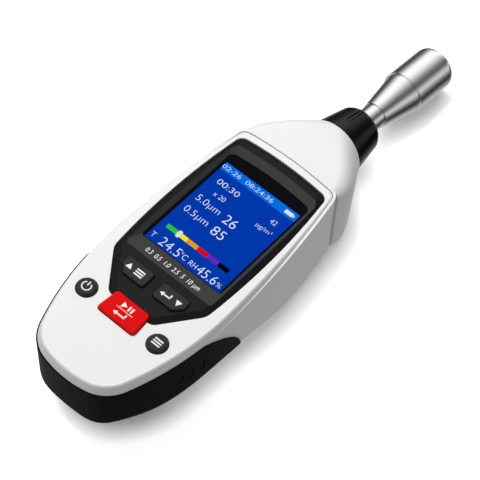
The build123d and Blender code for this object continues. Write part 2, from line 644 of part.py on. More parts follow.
def sampling_probe():
    """Turned steel probe: stem, neck, cone, head with a rounded shoulder, and the mouth."""
    end = NOSE_END + COLLAR_LENGTH
    cone_low = end + PROBE_NECK_LENGTH
    cone_high = cone_low + PROBE_CONE_LENGTH
    tip = cone_high + PROBE_HEAD_LENGTH
    stem_low = end - PROBE_STEM_LENGTH
    outside = [(PROBE_STEM_RADIUS, stem_low), (PROBE_STEM_RADIUS, end), (PROBE_NECK_RADIUS, end),
               (PROBE_NECK_RADIUS, cone_low - PROBE_RING_WIDTH)]
    rings = ((PROBE_CONE_START, cone_low), (PROBE_HEAD_RADIUS, cone_high + PROBE_RING_WIDTH))
    for radius, distance in rings:
        floor = min(radius, PROBE_NECK_RADIUS) if distance == cone_low else PROBE_CONE_RADIUS
        outside.append((floor - PROBE_RING_DEPTH, distance - PROBE_RING_WIDTH))
        outside.append((floor - PROBE_RING_DEPTH, distance))
        outside.append((radius, distance))
    outside.append((PROBE_HEAD_RADIUS, tip - PROBE_SHOULDER))
    for step in (30, 60, 90):
        turn = math.radians(step)
        outside.append((PROBE_HEAD_RADIUS - PROBE_SHOULDER * 0.8 * (1 - math.cos(turn)),
                        tip - PROBE_SHOULDER + PROBE_SHOULDER * math.sin(turn)))
    floor = tip - PROBE_MOUTH_DEPTH
    inside = [(PROBE_MOUTH_RADIUS, tip), (PROBE_MOUTH_RADIUS, floor), (SAMPLE_BORE, cone_low + 6),
              (SAMPLE_BORE, stem_low)]
    return turned(outside + inside)


def probe_seal():
    """Ring between the probe's stem and the collar."""
    low = NOSE_END + COLLAR_LENGTH - PROBE_STEM_LENGTH - SEAL_WIDTH
    high = low + SEAL_WIDTH
    return turned([(SAMPLE_BORE, low), (SEAL_RADIUS, low), (SEAL_RADIUS, high), (SAMPLE_BORE, high)])


def inlet_tube():
    """Soft tube from the seal to the chamber's inlet."""
    high = NOSE_END + COLLAR_LENGTH - PROBE_STEM_LENGTH - SEAL_WIDTH
    low = TUBE_LOW
    return turned([(SAMPLE_BORE, low), (TUBE_RADIUS, low), (TUBE_RADIUS, high), (SAMPLE_BORE, high)])


def sensor_chamber():
    """Closed optical chamber under the board, with ports for air, laser and detector."""
    box = block(-CHAMBER_HALF_WIDTH, CHAMBER_HALF_WIDTH, CHAMBER_LOW_Y, CHAMBER_TOP_Y, CHAMBER_LOW, BOARD_LOW)
    box = fillet(box.edges().filter_by(Axis.Z), 2)
    wall = CHAMBER_WALL
    box -= block(wall - CHAMBER_HALF_WIDTH, CHAMBER_HALF_WIDTH - wall, CHAMBER_LOW_Y + wall, CHAMBER_TOP_Y - wall,
                 CHAMBER_LOW + wall, BOARD_LOW - wall)
    box += turned([(0, 33), (TUBE_RADIUS, 33), (TUBE_RADIUS, TUBE_LOW), (0, TUBE_LOW)])
    box -= turned([(0, 28), (SAMPLE_BORE, 28), (SAMPLE_BORE, TUBE_LOW), (0, TUBE_LOW)])
    middle = (CHAMBER_LOW + BOARD_LOW) / 2
    box -= Pos(CHAMBER_HALF_WIDTH, LASER_Y, middle) * Rot(0, 90, 0) * Cylinder(LASER_RADIUS, 2 * wall)
    box -= Pos(-CHAMBER_HALF_WIDTH, LASER_Y, middle) * Rot(0, 90, 0) * Cylinder(1.5, 2 * wall)
    box -= block(-6, 6, CHAMBER_LOW_Y - 1, CHAMBER_LOW_Y + wall, middle - 3, middle + 3)
    return box


def laser_module():
    """Brass barrel with a wider rear flange, in the side of the chamber."""
    middle = (CHAMBER_LOW + BOARD_LOW) / 2
    seat = CHAMBER_HALF_WIDTH - CHAMBER_WALL
    barrel = Pos(seat + LASER_LENGTH / 2, LASER_Y, middle) * Rot(0, 90, 0) * Cylinder(LASER_RADIUS, LASER_LENGTH)
    flange = Pos(CHAMBER_HALF_WIDTH + 0.6, LASER_Y, middle) * Rot(0, 90, 0) * Cylinder(LASER_RADIUS + 0.8, 1.2)
    return barrel + flange


def detector_board():
    """Small board with the photodiode, flat against the chamber's other side."""
    middle = (CHAMBER_LOW + BOARD_LOW) / 2
    x = -CHAMBER_HALF_WIDTH
    board = block(x - 1.2, x, LASER_Y - 6, LASER_Y + 6, middle - 5, middle + 5)
    return board + Pos(x + 0.8, LASER_Y, middle) * Rot(0, 90, 0) * Cylinder(1.5, 1.6)


def fan_housing():
    """Square blower body under the board, open to the chamber and downwards, with the fixed shaft."""
    low = BOARD_LOW - FAN_HEIGHT
    body = block(-FAN_HALF, FAN_HALF, FAN_Y - FAN_HALF, FAN_Y + FAN_HALF, low, BOARD_LOW)
    body = fillet(body.edges().filter_by(Axis.Z), 3)
    body -= rod(0, FAN_Y, ROTOR_RADIUS + 1.5, low + FAN_WALL, BOARD_LOW - FAN_WALL)
    body -= rod(0, FAN_Y, 5.5, low, low + FAN_WALL)
    body -= block(-6, 6, FAN_Y, FAN_Y + FAN_HALF, low + FAN_WALL, BOARD_LOW - FAN_WALL)
    body += rod(0, FAN_Y, SHAFT_RADIUS, low + FAN_WALL, BOARD_LOW - FAN_WALL)
    return body


def fan_rotor():
    """Blower wheel: a disc, a hub on the shaft and curved-in blades joined by a ring."""
    low = BOARD_LOW - FAN_HEIGHT + FAN_WALL + ROTOR_GAP
    high = BOARD_LOW - FAN_WALL - ROTOR_GAP
    wheel = rod(0, 0, ROTOR_RADIUS, high - 1, high) + rod(0, 0, 2.6, low, high)
    blade = Pos(ROTOR_RADIUS - 1.9, 0, (low + high) / 2) * Rot(0, 0, 35) * Box(3.2, 0.6, high - low)
    for index in range(BLADES):
        wheel += Rot(0, 0, 360 * index / BLADES) * blade
    wheel -= rod(0, 0, SHAFT_RADIUS + SHAFT_FIT, low - 1, high + 1)
    return Pos(0, FAN_Y, 0) * wheel


def battery():
    """Flat cell that lies on thin pads on the floor and on the door."""
    low = WALL + BATTERY_REST
    cell = block(-BATTERY_HALF_WIDTH, BATTERY_HALF_WIDTH, BATTERY_LOW_Y, BATTERY_TOP_Y, low, low + BATTERY_THICK)
    return fillet(cell.edges().filter_by(Axis.Y), 1.5)


def battery_cover():
    """Door in the back: an outer plate on the ledge and a raised middle, with a screw hole."""
    edge = FIT
    half = DOOR_HALF_WIDTH - edge
    plate = block(-half, half, DOOR_LOW_Y + edge, DOOR_TOP_Y - edge, 0, DOOR_THICK)
    ledge = DOOR_LEDGE + edge
    half = DOOR_HALF_WIDTH - ledge
    plate += block(-half, half, DOOR_LOW_Y + DOOR_STEP + edge, DOOR_TOP_Y - ledge, DOOR_THICK, WALL)
    plate -= rod(0, DOOR_SCREW_Y, DOOR_SCREW_RADIUS, 0, DOOR_THICK)
    plate -= rod(0, DOOR_SCREW_Y, SMALL_HEAD_RADIUS + 0.2, 0, 0.7)
    for row in range(3):
        plate -= block(-4, 4, DOOR_TOP_Y - 6 + 1.6 * row, DOOR_TOP_Y - 5.2 + 1.6 * row, 0, 0.4)
    return plate


def cover_screw():
    """The door's screw."""
    return screw(0, DOOR_SCREW_Y, DOOR_SCREW_RADIUS, SMALL_HEAD_RADIUS, 0.05, 0.7, WALL)


def tripod_bush():
    """Brass insert with the tripod thread."""
    bush = rod(0, TRIPOD_Y, TRIPOD_RADIUS, 0, TRIPOD_LENGTH)
    return bush - rod(0, TRIPOD_Y, TRIPOD_BORE, 0, TRIPOD_LENGTH)


def usb_socket():
    """Socket under the board's left edge, open through the wall."""
    x0, x1 = -USB_REACH, USB_LENGTH - USB_REACH
    half, low = USB_HALF_WIDTH, BOARD_LOW - USB_HEIGHT
    body = block(x0, x1, USB_Y - half, USB_Y + half, low, BOARD_LOW)
    return body - block(x0, x1 - 1, USB_Y - half + 0.4, USB_Y + half - 0.4, low + 0.4, BOARD_LOW - 0.4)


def humidity_sensor():
    """Small chip on the underside of the board."""
    return block(14.5, 17.5, 14, 17, BOARD_LOW - 1, BOARD_LOW)


def pieces():
    """Every node and its solid."""
    centres = key_centres()
    return {
        "front_cover": front_cover(), "front_shell": front_shell(), "rear_shell": rear_shell(),
        "bumper": bumper(), "bezel": bezel(), "display_window": display_window(),
        "display_panel": display_panel(), "display_frame": display_frame(), "keypad_mat": keypad_mat(),
        "up_key": key(UPPER_KEYS[0], centres[0], 0.4), "down_key": key(UPPER_KEYS[1], centres[1], 0.4),
        "start_key": key(START_KEY, centres[2], 0.5), "power_key": key(ROUND_KEYS[0], centres[3], 0.9),
        "memory_key": key(ROUND_KEYS[1], centres[4], 0.9), "main_board": main_board(),
        "board_screws": board_screws(), "housing_screws": housing_screws(), "nose_collar": nose_collar(),
        "sampling_probe": sampling_probe(), "probe_seal": probe_seal(), "inlet_tube": inlet_tube(),
        "sensor_chamber": sensor_chamber(), "laser_module": laser_module(),
        "detector_board": detector_board(),
        "fan_housing": fan_housing(), "fan_rotor": fan_rotor(), "battery": battery(),
        "battery_cover": battery_cover(), "cover_screw": cover_screw(), "tripod_bush": tripod_bush(),
        "usb_socket": usb_socket(), "humidity_sensor": humidity_sensor(),
    }


os.makedirs("parts", exist_ok=True)
solids = pieces()
low_y = min(solid.bounding_box().min.Y for solid in solids.values())
high_y = max(solid.bounding_box().max.Y for solid in solids.values())
middle_y = (low_y + high_y) / 2
print("middle of the whole along the instrument:", round(middle_y, 3))
for name, solid in solids.items():
    export_step(Pos(0, -middle_y, 0) * solid, f"parts/{name}.step")
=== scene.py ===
import math

import bmesh
import bpy
from mathutils import Matrix, Vector


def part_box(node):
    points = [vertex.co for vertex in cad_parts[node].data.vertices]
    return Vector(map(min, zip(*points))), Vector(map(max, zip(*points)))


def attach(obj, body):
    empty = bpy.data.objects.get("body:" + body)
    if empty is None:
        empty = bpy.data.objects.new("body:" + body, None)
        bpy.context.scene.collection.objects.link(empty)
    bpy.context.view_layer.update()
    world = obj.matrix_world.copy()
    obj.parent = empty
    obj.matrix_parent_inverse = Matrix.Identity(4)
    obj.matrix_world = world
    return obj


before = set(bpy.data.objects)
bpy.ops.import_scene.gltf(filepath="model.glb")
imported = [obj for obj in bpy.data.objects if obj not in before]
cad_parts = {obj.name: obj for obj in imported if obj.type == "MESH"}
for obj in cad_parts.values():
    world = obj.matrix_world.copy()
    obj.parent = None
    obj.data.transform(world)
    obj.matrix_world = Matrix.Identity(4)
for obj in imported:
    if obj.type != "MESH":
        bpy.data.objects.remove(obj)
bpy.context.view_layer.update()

# %% [markdown]
# The instrument arrives as rigid pieces that already have their real size and place. What is left
# to make is how it looks: the finish of every surface, the picture on the display, the signs on
# the keys, and a camera, lights and floor to see them by. Everything is in metres, so a small
# helper turns millimetres, which suit an instrument of this size, into metres.

# %% Units and the box of the rigid model
MM = 0.001


def box_middle(name):
    """Middle of a rigid piece's box and its highest level."""
    low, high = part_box(name)
    return (low + high) / 2, high.z


# %% [markdown]
# A camera is easiest to place by what it looks at. Here that point lies just beside the middle of
# the display. Two angles say where the camera stands, a third one rolls it, and a long lens keeps
# the two sides of the housing almost parallel.

# %% Camera
FRAME_PIXELS = 480
VIEW_YAW = 38.27
VIEW_HEIGHT_ANGLE = 56.52
VIEW_ROLL = 3.63
VIEW_DISTANCE = 532 * MM
NEAREST_SEEN = 10 * MM
FOCAL_PIXELS = 1671
SENSOR = 36.0
PANEL_RIM_TOP = 1.4 * MM
PICTURE_HALF_WIDTH = 15.84 * MM
PICTURE_HALF_HEIGHT = 19.8 * MM
BESIDE_SCREEN = Vector((7.47, -0.28, 0)) * MM

panel_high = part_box("display_panel")[1]
screen = Vector((0, panel_high.y - PANEL_RIM_TOP - PICTURE_HALF_HEIGHT, panel_high.z))
look_at = screen + BESIDE_SCREEN


def camera_axes(yaw, height, roll):
    """Right, up and backward directions of a camera from its three angles in degrees."""
    yaw, height, roll = (math.radians(angle) for angle in (yaw, height, roll))
    level = math.cos(height)
    back = Vector((math.sin(yaw) * level, -math.cos(yaw) * level, math.sin(height)))
    right = Vector((math.cos(yaw), math.sin(yaw), 0))
    up = back.cross(right)
    rolled_right = math.cos(roll) * right + math.sin(roll) * up
    rolled_up = -math.sin(roll) * right + math.cos(roll) * up
    return rolled_right, rolled_up, back


right, up, back = camera_axes(VIEW_YAW, VIEW_HEIGHT_ANGLE, VIEW_ROLL)
lens = bpy.data.cameras.new("camera")
lens.sensor_width = SENSOR
lens.lens = FOCAL_PIXELS / FRAME_PIXELS * SENSOR
lens.clip_start = NEAREST_SEEN
camera = bpy.data.objects.new("camera", lens)
turn = Matrix((right, up, back)).transposed()
camera.matrix_world = Matrix.Translation(look_at + back * VIEW_DISTANCE) @ turn.to_4x4()
bpy.context.scene.collection.objects.link(camera)
bpy.context.scene.camera = camera
print("camera at, mm:", [round(value / MM) for value in camera.location])

# %% [markdown]
# A finish, and the studio's light too, is a tree of small nodes. Each node has sockets that take
# either a plain value or what another node puts out. Four helpers keep the trees short to write:
# one fills a socket, one adds a node with its sockets filled, one starts a new finish, and one
# makes a grey.


# %% Node helpers
def feed(tree, socket, value):
    """Gives a socket a plain value, or a link from another node's output."""
    if isinstance(value, bpy.types.NodeSocket):
        tree.links.new(value, socket)
    else:
        socket.default_value = value


def node(tree, kind, *first, **named):
    """Adds a node: first fills its sockets in order, named its properties or its sockets."""
    made = tree.nodes.new(kind)
    for name, value in named.items():
        if hasattr(made, name):
            setattr(made, name, value)
        else:
            feed(tree, made.inputs[name.replace("_", " ")], value)
    for socket, value in zip(made.inputs, first):
        feed(tree, socket, value)
    return made


def new_finish(name, **named):
    """A new material, its node tree and its shader with the named sockets filled."""
    made = bpy.data.materials.new(name)
    made.use_nodes = True
    tree = made.node_tree
    shader = tree.nodes["Principled BSDF"]
    for socket, value in named.items():
        feed(tree, shader.inputs[socket.replace("_", " ")], value)
    return made, tree, shader


def grey(shade):
    """A colour without any tint."""
    return (shade, shade, shade)


print("helpers:", feed.__name__, node.__name__, new_finish.__name__, grey.__name__)

# %% [markdown]
# Polished metal shows its surroundings more than its own colour. So mirror reflections see a
# studio of their own: bright and dark panels side by side, which run the same way as the nose. A
# round bar that lies along them shows them as lengthwise streaks. A colour ramp holds the panels,
# and the angle of a reflected ray round the nose's drooping axis finds its place on the ramp.

# %% Mirrored studio
NOSE_DROOP = math.radians(8)
MIRROR_LIGHT = 1.35
MIRRORED_STUDIO = [(-180, 0.05), (-164, 0.04), (-140, 0.34), (-98, 0.50), (-57, 0.26),
                   (-35, 0.03), (-17, 0.06), (-1, 0.28), (14, 0.60), (27, 0.42),
                   (40, 0.13), (53, 0.10), (66, 0.20), (78, 0.40), (91, 0.64),
                   (104, 0.90), (120, 1.0), (140, 0.93), (155, 0.48), (170, 0.14)]
world = bpy.data.worlds.new("studio")
bpy.context.scene.world = world
world.use_nodes = True
tree = world.node_tree
tree.nodes.clear()
direction = node(tree, "ShaderNodeTexCoord").outputs["Generated"]
nose_up = (0, math.sin(NOSE_DROOP), math.cos(NOSE_DROOP))
over_nose = node(tree, "ShaderNodeVectorMath", direction, nose_up, operation="DOT_PRODUCT")
across = node(tree, "ShaderNodeSeparateXYZ", direction)
angle = node(tree, "ShaderNodeMath", over_nose.outputs["Value"], across.outputs["X"],
             operation="ARCTAN2")
share = node(tree, "ShaderNodeMapRange", angle.outputs[0], -math.pi, math.pi)
panels = node(tree, "ShaderNodeValToRGB", share.outputs["Result"])
points = panels.color_ramp.elements
while len(points) < len(MIRRORED_STUDIO):
    points.new(0.5)
for point, (degrees, shade) in zip(points, MIRRORED_STUDIO):
    point.position = (degrees + 180) / 360
    point.color = (*grey(shade), 1)
print("panels in the mirrored studio:", len(points))

# %% [markdown]
# Every other ray sees an even white room. The light path tells the two apart: it knows which rays
# are mirror reflections. The plain view transform keeps white surfaces white.

# %% World
WORLD_LIGHT = 0.38
WHITE = (1, 1, 1, 1)
plain = node(tree, "ShaderNodeBackground", WHITE, WORLD_LIGHT)
mirrored = node(tree, "ShaderNodeBackground", panels.outputs["Color"], MIRROR_LIGHT)
ray = node(tree, "ShaderNodeLightPath")
mixed = node(tree, "ShaderNodeMixShader", ray.outputs["Is Glossy Ray"], plain.outputs[0],
             mirrored.outputs[0])
node(tree, "ShaderNodeOutputWorld", mixed.outputs[0])
bpy.context.scene.view_settings.view_transform = "Standard"
print("world and mirror strength:", WORLD_LIGHT, MIRROR_LIGHT)

# %% [markdown]
# A product like this is lit from one large soft lamp above the far left side, so that the face is
# bright, the near side is grey and a soft shadow falls to the near right. Mirror reflections don't
# see the lamp, because they have a studio of their own.

# %% Lamp
LAMP_PLACE = Vector((-0.30, 0.06, 0.62))
LAMP_TARGET = Vector((0, 0, 0.02))
LAMP_SIDE = 0.40
LAMP_WATTS = 4.0
light = bpy.data.lights.new("key_lamp", "AREA")
light.size = LAMP_SIDE
light.energy = LAMP_WATTS
key_lamp = bpy.data.objects.new("key_lamp", light)
key_lamp.location = LAMP_PLACE
key_lamp.rotation_mode = "QUATERNION"
key_lamp.rotation_quaternion = (LAMP_TARGET - LAMP_PLACE).to_track_quat("-Z", "Y")
key_lamp.visible_glossy = False
bpy.context.scene.collection.objects.link(key_lamp)
print("lamp side, m, and watts:", LAMP_SIDE, LAMP_WATTS)

# %% [markdown]
# The floor is a plain pale sheet, much larger than the view. It is part of the studio and not of
# the instrument. White paper under a bright studio would need much light from everywhere, so it
# glows a little by itself, and less where the instrument stands close above it: that keeps the dark
# soft line along the foot of the housing. It neither lights the instrument from below nor shows in
# its reflections.

# %% Floor
FLOOR_HALF = 3.0
PAPER_SHADE = 0.93
PAPER_ROUGHNESS = 0.9
FLOOR_GLOW = 0.74
CONTACT_RAYS = 16
CONTACT_REACH = 10 * MM
CONTACT_DARK = 0.45
CONTACT_CLEAR = 0.95
CONTACT_GLOW = 0.12


def new_object(name, shape, finishes):
    """Turns a finished bmesh into an object of the scene with its finishes."""
    mesh = bpy.data.meshes.new(name)
    for finish in finishes:
        mesh.materials.append(finish)
    shape.to_mesh(mesh)
    shape.free()
    made = bpy.data.objects.new(name, mesh)
    bpy.context.scene.collection.objects.link(made)
    return made


paper, tree, shader = new_finish("floor_paper", Base_Color=(*grey(PAPER_SHADE), 1),
                                 Roughness=PAPER_ROUGHNESS, Specular_IOR_Level=0.0,
                                 Emission_Color=WHITE)
# Ambient occlusion dims the floor's glow near the housing: a painted soft shadow along its foot.
nearness = node(tree, "ShaderNodeAmbientOcclusion", samples=CONTACT_RAYS, Distance=CONTACT_REACH)
glow = node(tree, "ShaderNodeMapRange", nearness.outputs["AO"], CONTACT_DARK, CONTACT_CLEAR,
            CONTACT_GLOW, FLOOR_GLOW)
feed(tree, shader.inputs["Emission Strength"], glow.outputs["Result"])
sheet = bmesh.new()
bmesh.ops.create_grid(sheet, x_segments=1, y_segments=1, size=FLOOR_HALF)
floor = new_object("floor", sheet, [paper])
floor.visible_glossy = False
floor.visible_diffuse = False
print("floor side, m:", 2 * FLOOR_HALF)

# %% [markdown]
# Moulded plastic and rubber are never quite smooth: the mould leaves a fine even grain. One node
# group makes that grain for every moulded finish. It takes a size and gives back a height for the
# bump and a small variation for the colour, and the material decides how strong each is.

# %% Shared grain
GRAIN_SIZE = 0.25 * MM
GRAIN_DEPTH = 0.1 * MM
CLOUDS_PER_METRE = 60.0


def shared_group(name, inputs, outputs):
    """An empty node group with named value inputs and outputs."""
    group = bpy.data.node_groups.new(name, "ShaderNodeTree")
    for socket, value in inputs:
        made = group.interface.new_socket(socket, in_out="INPUT", socket_type="NodeSocketFloat")
        made.default_value = value
    for socket in outputs:
        group.interface.new_socket(socket, in_out="OUTPUT", socket_type="NodeSocketFloat")
    return group, node(group, "NodeGroupInput"), node(group, "NodeGroupOutput")


grain, grain_in, grain_out = shared_group("moulded_grain", [("Size", GRAIN_SIZE)],
                                          ["Height", "Cloud"])
place = node(grain, "ShaderNodeTexCoord").outputs["Object"]
many = node(grain, "ShaderNodeMath", 1.0, grain_in.outputs["Size"], operation="DIVIDE")
fine = node(grain, "ShaderNodeTexNoise", Vector=place, Scale=many.outputs[0], Detail=2.0,
            Roughness=0.6)
broad = node(grain, "ShaderNodeTexNoise", Vector=place, Scale=CLOUDS_PER_METRE, Detail=2.0)
feed(grain, grain_out.inputs["Height"], fine.outputs["Fac"])
feed(grain, grain_out.inputs["Cloud"], broad.outputs["Fac"])
print("grain size, mm:", GRAIN_SIZE / MM)

# %% [markdown]
# The housing is satin white plastic, the bumper is a softer black rubber, and the keys are
# moulded silicone. They differ only in colour, gloss and strength of the grain, so one helper
# makes them all. A finish also varies a little between its colour and a darker one, which
# another helper mixes.


# %% Helpers for moulded finishes
def mix_colour(tree, factor, first, second):
    """A colour mix; each end is a plain colour or a socket."""
    made = node(tree, "ShaderNodeMix", data_type="RGBA", Factor=factor)
    for name, value in (("A", first), ("B", second)):
        socket = [one for one in made.inputs if one.name == name and one.type == "RGBA"][0]
        feed(tree, socket, (*value, 1) if isinstance(value, tuple) else value)
    return [one for one in made.outputs if one.type == "RGBA"][0]


def shaded(colour, share):
    """A darker shade of a colour."""
    return tuple(part * share for part in colour)


def moulded(name, colour, roughness, bump=0.06, vary=0.06, shine=0.5):
    """A moulded plastic or rubber finish with the shared grain; shine is its mirror strength."""
    made, tree, shader = new_finish(name, Roughness=roughness, Specular_IOR_Level=shine)
    texture = node(tree, "ShaderNodeGroup", node_tree=grain, Size=GRAIN_SIZE)
    clouded = mix_colour(tree, texture.outputs["Cloud"], shaded(colour, 1 - vary), colour)
    feed(tree, shader.inputs["Base Color"], clouded)
    lift = node(tree, "ShaderNodeBump", Strength=bump, Distance=GRAIN_DEPTH,
                Height=texture.outputs["Height"])
    feed(tree, shader.inputs["Normal"], lift.outputs["Normal"])
    return made


print("helpers:", mix_colour.__name__, shaded.__name__, moulded.__name__)

# %% [markdown]
# A finish is a name, a colour and a roughness. A dark surface shows mostly what it mirrors, so
# the black and grey ones also get little shine: with more, the bright studio would turn them grey.
# Inner pieces are seen only when the housing is open, and the helper's plain values suit them.

# %% Moulded finishes
white = moulded("white_housing", grey(0.80), 0.38, bump=0.03, vary=0.02)
black = moulded("black_collar", grey(0.002), 0.15, bump=0.05, shine=0.16)
rubber = moulded("bumper_rubber", grey(0.005), 0.38, bump=0.10, shine=0.012)
key_grey = moulded("key_silicone_grey", (0.027, 0.027, 0.029), 0.45, bump=0.1, shine=0.12)
key_red = moulded("key_silicone_red", (0.70, 0.002, 0.002), 0.36, bump=0.05, shine=0.10)
dull_black = moulded("inner_black", grey(0.02), 0.55)
silicone = moulded("mat_silicone", grey(0.45), 0.6)
tube = moulded("tube_silicone", (0.75, 0.75, 0.72), 0.3)
cell = moulded("cell_wrap", (0.10, 0.20, 0.45), 0.3)
print("finishes so far:", len(bpy.data.materials))

# %% [markdown]
# The bezel is one charcoal moulding with three kinds of surface: the flat land round the keys, the
# slopes that lead down to the window, and the band round the edge, which slopes down to the cover.
# The material tells them apart by the way the surface faces: on the band the normal leans away from
# the middle of the bezel, on the slopes towards it. The slopes get a lighter colour as a painted
# highlight and the band a darker one as painted shade, both set against the land's charcoal.

# %% Bezel finish
# The lighter slope colour is a painted highlight and the darker band colour is painted shade.
BEZEL_LAND = grey(0.014)
SLOPE_PAINTED_HIGHLIGHT = grey(0.043)
BAND_PAINTED_SHADE = grey(0.009)
LEAN_LIMIT = 1.2 * MM
bezel_finish = moulded("bezel_charcoal", BEZEL_LAND, 0.36, bump=0.1, shine=0.05)
tree = bezel_finish.node_tree
base = tree.nodes["Principled BSDF"].inputs["Base Color"]
where = node(tree, "ShaderNodeTexCoord").outputs["Object"]
facing = node(tree, "ShaderNodeNewGeometry").outputs["True Normal"]
offset = node(tree, "ShaderNodeVectorMath", where, box_middle("bezel")[0], operation="SUBTRACT")
outward = node(tree, "ShaderNodeVectorMath", offset.outputs[0], (1, 1, 0), operation="MULTIPLY")
lean = node(tree, "ShaderNodeVectorMath", outward.outputs[0], facing, operation="DOT_PRODUCT")
finish = base.links[0].from_socket
# Mix in the painted highlight on the inward slopes and the painted shade on the outward band.
for test, limit, colour in (("LESS_THAN", -LEAN_LIMIT, SLOPE_PAINTED_HIGHLIGHT),
                            ("GREATER_THAN", LEAN_LIMIT, BAND_PAINTED_SHADE)):
    leaning = node(tree, "ShaderNodeMath", lean.outputs["Value"], limit, operation=test)
    finish = mix_colour(tree, leaning.outputs[0], finish, colour)
feed(tree, base, finish)
print("bezel land, slope and band:", BEZEL_LAND[0], SLOPE_PAINTED_HIGHLIGHT[0], BAND_PAINTED_SHADE[0])

# %% [markdown]
# Turned steel has fine rings round its axis where the tool cut. They are a small bump and a slight
# change of tone, and both depend only on the distance along the axis. The probe's axis droops with
# the nose. Brass parts and screws stand upright, so their rings lie level.

# %% Turned metal
RING_PITCH = 0.16 * MM
RING_DEPTH = 0.02 * MM
RING_BUMP = 0.12
RING_TONE = 0.86
UPRIGHT = math.radians(90)


def turned_metal(name, colour, roughness, droop):
    """A metal with lathe rings square to an axis that droops by an angle."""
    made, tree, shader = new_finish(name, Metallic=1.0, Roughness=roughness)
    where = node(tree, "ShaderNodeTexCoord").outputs["Object"]
    axis = (0, math.cos(droop) / RING_PITCH, -math.sin(droop) / RING_PITCH)
    along = node(tree, "ShaderNodeVectorMath", where, axis, operation="DOT_PRODUCT")
    rings = node(tree, "ShaderNodeTexNoise", noise_dimensions="1D", W=along.outputs["Value"],
                 Scale=1.0, Detail=3.0).outputs["Fac"]
    feed(tree, shader.inputs["Base Color"],
         mix_colour(tree, rings, shaded(colour, RING_TONE), colour))
    lift = node(tree, "ShaderNodeBump", Strength=RING_BUMP, Distance=RING_DEPTH, Height=rings)
    feed(tree, shader.inputs["Normal"], lift.outputs["Normal"])
    return made


steel = turned_metal("turned_steel", grey(0.80), 0.16, NOSE_DROOP)
brass = turned_metal("turned_brass", (0.80, 0.60, 0.28), 0.28, UPRIGHT)
plated = turned_metal("plated_screw", (0.62, 0.62, 0.64), 0.30, UPRIGHT)
print("metals:", steel.name, brass.name, plated.name)

# %% [markdown]
# The circuit boards are green lacquer over copper tracks. A brick pattern stands for the tracks:
# they only show as slightly lighter straight lines under the lacquer.

# %% Circuit board
LACQUER = (0.010, 0.12, 0.05, 1)
LACQUER_LIGHTER = (0.012, 0.14, 0.055, 1)
LACQUER_ON_TRACK = (0.05, 0.30, 0.12, 1)
TRACK_SCALE = 250.0
TRACK_WIDTH = 0.05
board, tree, shader = new_finish("board_lacquer", Roughness=0.35)
where = node(tree, "ShaderNodeTexCoord").outputs["Object"]
tracks = node(tree, "ShaderNodeTexBrick", where, LACQUER, LACQUER_LIGHTER, LACQUER_ON_TRACK,
              TRACK_SCALE, TRACK_WIDTH)
feed(tree, shader.inputs["Base Color"], tracks.outputs["Color"])
print("board finish:", board.name)

# %% [markdown]
# The lens is one sheet of clear plastic, printed black on its rear except where the picture shows.
# A mask made from the place on the lens is one in the printed border and zero over the picture,
# and it drives the material's alpha, so that the picture shows through the middle.

# %% Lens with its black mask
MASK_MARGIN = 0.1 * MM
MASK_BLACK = (0.003, 0.003, 0.004, 1)
LENS_ROUGHNESS = 0.06
LENS_SHINE = 0.015
CLEAR_ALPHA = 0.04
window, tree, shader = new_finish("lens_with_mask", Base_Color=MASK_BLACK,
                                  Roughness=LENS_ROUGHNESS, Specular_IOR_Level=LENS_SHINE)
where = node(tree, "ShaderNodeTexCoord").outputs["Object"]
local = node(tree, "ShaderNodeVectorMath", where, screen, operation="SUBTRACT")
reach = node(tree, "ShaderNodeVectorMath", local.outputs[0], operation="ABSOLUTE")
sides = node(tree, "ShaderNodeSeparateXYZ", reach.outputs[0])
beyond = []
for axis, half in (("X", PICTURE_HALF_WIDTH), ("Y", PICTURE_HALF_HEIGHT)):
    test = node(tree, "ShaderNodeMath", sides.outputs[axis], half + MASK_MARGIN,
                operation="GREATER_THAN")
    beyond.append(test.outputs[0])
either = node(tree, "ShaderNodeMath", *beyond, operation="MAXIMUM")
opacity = node(tree, "ShaderNodeMapRange", Value=either.outputs[0], To_Min=CLEAR_ALPHA)
feed(tree, shader.inputs["Alpha"], opacity.outputs["Result"])
print("clear area, mm:", 2 * PICTURE_HALF_WIDTH / MM, 2 * PICTURE_HALF_HEIGHT / MM)


# %% [markdown]
# A lit display gives off its own light, so its colours are emission and the base colour is black.
# The picture is built from thin flat shapes just above the panel, each in a plain lit colour, as
# a real picture is built from pixels. That keeps every edge sharp at any distance.

# %% Lit colours
FLICKER_SCALE = 180.0
FLICKER_TONE = 0.93


def lit(name, colour):
    """A colour of the display, which shines by itself."""
    made, tree, shader = new_finish(name, Base_Color=(0, 0, 0, 1), Specular_IOR_Level=0.0,
                                    Emission_Strength=1.0)
    where = node(tree, "ShaderNodeTexCoord").outputs["Object"]
    flicker = node(tree, "ShaderNodeTexNoise", Vector=where, Scale=FLICKER_SCALE, Detail=1.0)
    feed(tree, shader.inputs["Emission Color"],
         mix_colour(tree, flicker.outputs["Fac"], shaded(colour, FLICKER_TONE), colour))
    return made


LIT = {
    "blue": lit("lit_blue", (0.0, 0.044, 0.45)),
    "band": lit("lit_band", (0.0, 0.17, 0.82)),
    "white": lit("lit_white", (0.80, 0.84, 0.95)),
    "green": lit("lit_green", (0.02, 0.62, 0.04)),
    "yellow": lit("lit_yellow", (0.95, 0.90, 0.02)),
    "orange": lit("lit_orange", (0.90, 0.35, 0.01)),
    "red": lit("lit_red", (0.85, 0.0, 0.01)),
    "violet": lit("lit_violet", (0.16, 0.02, 0.55)),
    "black": lit("lit_black", (0.0, 0.0, 0.005)),
}
print("lit colours:", len(LIT))

# %% [markdown]
# Every rigid piece gets its finish through its material slot. A table of finishes keeps that in
# one place, and the pieces themselves aren't touched.

